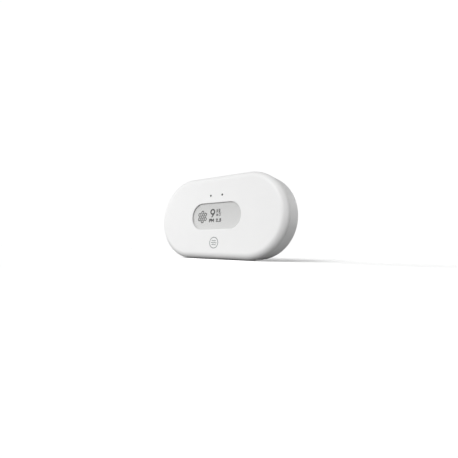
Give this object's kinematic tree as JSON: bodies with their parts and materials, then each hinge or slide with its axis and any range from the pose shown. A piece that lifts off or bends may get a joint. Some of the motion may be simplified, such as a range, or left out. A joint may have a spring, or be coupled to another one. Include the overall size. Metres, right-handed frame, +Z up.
{
  "type": "air quality monitor",
  "caption": "Pill-shaped indoor air quality monitor with a recessed reflective display, soft rounded white shell, rubber feet and a magnetic plate for wall mounting.",
  "frame": {"origin": "middle of the footprint, on the surface that the feet stand on", "axes": "+Z up, -Y the way the display faces, +X along the long side"},
  "size_m": [0.17, 0.033, 0.0905],
  "materials": {
    "shell_white": "fine satin texture",
    "mark_grey": "satin",
    "window": "matt anti-glare",
    "epaper": "matt",
    "black_foam": "matt",
    "light_foam": "matt",
    "grey_rubber": "matt",
    "black_plastic": "matt",
    "white_plastic": "satin",
    "amber_film": "semi-gloss",
    "smoke_clear": "gloss",
    "board_green": "semi-gloss",
    "chip_black": "satin",
    "steel": "plain",
    "nickel": "bright nickel plate",
    "cell_jacket": "printed jacket",
    "lead_black": "satin",
    "lead_red": "satin",
    "brass": "plain",
    "copper": "enamelled winding",
    "ferrite": "matt",
    "cast_alu": "die-cast",
    "mesh": "woven",
    "grey_cable": "satin",
    "button_grey": "satin",
    "sensor_grey": "satin"
  },
  "bodies": {
    "housing": {"front_cover": "shell_white", "rear_housing": "shell_white", "port_insert": "shell_white", "front_mark": "mark_grey", "display_lens": "window", "display_gasket": "light_foam", "display_panel": "epaper", "display_frame": "black_plastic", "display_ribbon": "amber_film", "ribbon_connector": "white_plastic", "light_guide": "smoke_clear", "optical_sensors": "chip_black", "main_board": "board_green", "board_screws": "steel", "wireless_module": "steel", "processor_chip": "chip_black", "power_chips": "chip_black", "co2_sensor": "cast_alu", "gas_sensor": "steel", "climate_sensor": "chip_black", "left_foot": "grey_rubber", "right_foot": "grey_rubber", "housing_screws": "steel", "magnets": "nickel", "vent_mesh_side": "mesh", "vent_mesh_top": "mesh", "vent_mesh_bottom": "mesh", "battery_cell_1": "cell_jacket", "battery_cell_2": "cell_jacket", "battery_cell_3": "cell_jacket", "battery_cell_4": "cell_jacket", "battery_springs": "nickel", "battery_contacts": "nickel", "battery_lead_black": "lead_black", "battery_lead_red": "lead_red", "side_board": "board_green", "side_board_screws": "steel", "usb_socket_shell": "steel", "usb_socket_tongue": "black_plastic", "button_switch": "black_plastic", "board_link": "black_plastic", "particle_sensor_case": "sensor_grey", "particle_sensor_lid": "sensor_grey", "fan_bearing": "brass", "fan_stator": "copper", "laser_block": "cast_alu", "particle_sensor_pad": "black_foam", "sensor_connector": "white_plastic", "sensor_ribbon": "grey_cable", "air_duct": "black_plastic", "duct_seal": "black_foam"},
    "plate": {"wall_plate": "shell_white", "plate_keepers": "nickel"},
    "fan": {"fan_impeller": "black_plastic", "fan_shaft": "steel", "fan_magnet_ring": "ferrite"},
    "button": {"reset_button": "button_grey", "switch_plunger": "white_plastic"}
  },
  "joints": [
    {"name": "wall_plate_pull", "type": "slide", "parent": "housing", "child": "plate", "axis": [0, 1, 0], "range_m": [0, 0.05]},
    {"name": "fan_spin", "type": "hinge", "parent": "housing", "child": "fan", "pos_m": [0.033, 0, 0.0395], "axis": [0, 1, 0], "continuous": true},
    {"name": "reset_button_press", "type": "slide", "parent": "housing", "child": "button", "axis": [0, -1, 0], "range_m": [0, 0.0008], "stiffness_N_per_m": 500}
  ]
}
